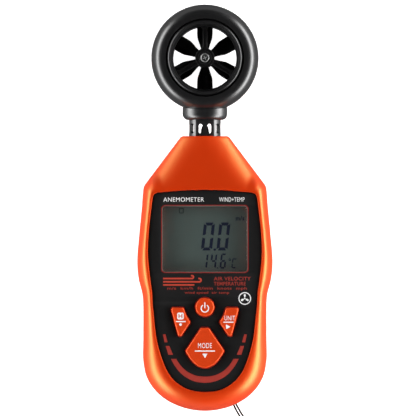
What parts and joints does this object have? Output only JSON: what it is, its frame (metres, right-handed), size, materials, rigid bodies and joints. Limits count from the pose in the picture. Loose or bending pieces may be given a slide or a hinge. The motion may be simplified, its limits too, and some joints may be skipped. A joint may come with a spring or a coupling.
{
  "type": "handheld vane anemometer",
  "caption": "Flat handheld weather meter: waisted case with a display and shaped keys, a slotted neck, a ducted spinning vane head, a sliding battery door and a wrist strap.",
  "frame": {"origin": "centre of the bounding box seen from above, without the wrist strap, on the plane that the flat back rests on", "axes": "+X to the reader's right, +Y towards the vane head, +Z out of the face"},
  "size_m": [0.0694, 0.2506, 0.0318],
  "materials": {
    "case_orange": "satin moulded ABS",
    "key_orange": "fine matt grain",
    "head_black": "glossy moulded plastic",
    "panel_black": "printed overlay, satin",
    "lens_clear": "clear window, polished",
    "lcd_grey": "grey-green liquid crystal glass",
    "light_guide_white": "white moulded",
    "silicone_grey": "matt silicone",
    "board_green": "solder-masked glass-fibre board",
    "chip_black": "moulded package",
    "steel": "plain bright steel",
    "brass": "turned",
    "cell_jacket": "printed sleeve over metal",
    "cord_black": "woven cord"
  },
  "bodies": {
    "case": {"front_shell": "case_orange", "rear_shell": "case_orange", "head_front_shell": "head_black", "head_rear_shell": "head_black", "neck_collar": "head_black", "neck_sleeve": "head_black", "front_guard": "head_black", "rear_guard": "head_black", "strap_clip": "head_black", "face_panel": "panel_black", "display_lens": "lens_clear", "lcd_glass": "lcd_grey", "lcd_backlight": "light_guide_white", "cable_connector": "light_guide_white", "keypad_web": "silicone_grey", "zebra_strip_upper": "silicone_grey", "zebra_strip_lower": "silicone_grey", "main_board": "board_green", "sensor_carrier": "board_green", "pickup_board": "board_green", "controller_chip": "chip_black", "power_switch": "chip_black", "hold_switch": "chip_black", "unit_switch": "chip_black", "mode_switch": "chip_black", "temperature_sensor": "chip_black", "optical_pickup": "chip_black", "case_screw_1": "steel", "case_screw_2": "steel", "case_screw_3": "steel", "case_screw_4": "steel", "head_screw_1": "steel", "head_screw_2": "steel", "head_screw_3": "steel", "front_bearing_cap": "steel", "rear_bearing_cap": "steel", "strap_pin": "steel", "battery_spring_1": "steel", "battery_spring_2": "steel", "battery_spring_3": "steel", "battery_contact_upper": "steel", "battery_contact_lower": "steel", "front_bearing": "brass", "rear_bearing": "brass", "battery_cell_1": "cell_jacket", "battery_cell_2": "cell_jacket", "battery_cell_3": "cell_jacket", "strap_strand_left": "cord_black", "strap_strand_right": "cord_black", "strap_hank": "cord_black", "head_cable": "cord_black"},
    "vane": {"impeller": "head_black", "impeller_shaft": "steel"},
    "power_key": {"power_key": "key_orange"},
    "hold_key": {"hold_key": "key_orange"},
    "unit_key": {"unit_key": "key_orange"},
    "mode_key": {"mode_key": "key_orange"},
    "battery_door": {"battery_door": "case_orange"}
  },
  "joints": [
    {"name": "vane_spin", "type": "hinge", "parent": "case", "child": "vane", "pos_m": [0, 0.0655, 0.016], "axis": [0, 0, 1], "continuous": true},
    {"name": "power_press", "type": "slide", "parent": "case", "child": "power_key", "axis": [0, 0, -1], "range_m": [0, 0.0007], "stiffness_N_per_m": 800, "springref_m": -0.0003},
    {"name": "hold_press", "type": "slide", "parent": "case", "child": "hold_key", "axis": [0, 0, -1], "range_m": [0, 0.0007], "stiffness_N_per_m": 800, "springref_m": -0.0003},
    {"name": "unit_press", "type": "slide", "parent": "case", "child": "unit_key", "axis": [0, 0, -1], "range_m": [0, 0.0007], "stiffness_N_per_m": 800, "springref_m": -0.0003},
    {"name": "mode_press", "type": "slide", "parent": "case", "child": "mode_key", "axis": [0, 0, -1], "range_m": [0, 0.0007], "stiffness_N_per_m": 800, "springref_m": -0.0003},
    {"name": "battery_door_slide", "type": "slide", "parent": "case", "child": "battery_door", "axis": [0, -1, 0], "range_m": [0, 0.045]}
  ]
}
